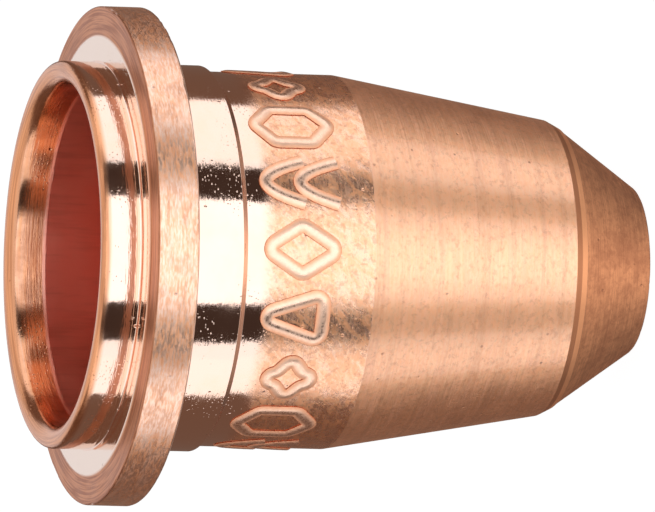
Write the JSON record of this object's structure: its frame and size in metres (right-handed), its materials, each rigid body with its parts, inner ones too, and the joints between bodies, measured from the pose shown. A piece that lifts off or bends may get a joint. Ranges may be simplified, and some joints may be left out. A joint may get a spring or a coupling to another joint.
{
  "type": "plasma torch nozzle",
  "caption": "One-piece turned copper plasma torch nozzle with a seating flange, a stepped bore, a marking band and a conical tip with a central orifice.",
  "frame": {"origin": "centre of the flat tip face, where the orifice comes out", "axes": "+Z along the axis of the nozzle, from the tip towards the open rear end; X and Y are any pair across it"},
  "size_m": [0.014, 0.014, 0.0168],
  "materials": {
    "copper": "turned copper, polished on the cylinders and satin on the cones"
  },
  "bodies": {
    "root": {"nozzle": "copper"}
  },
  "joints": []
}
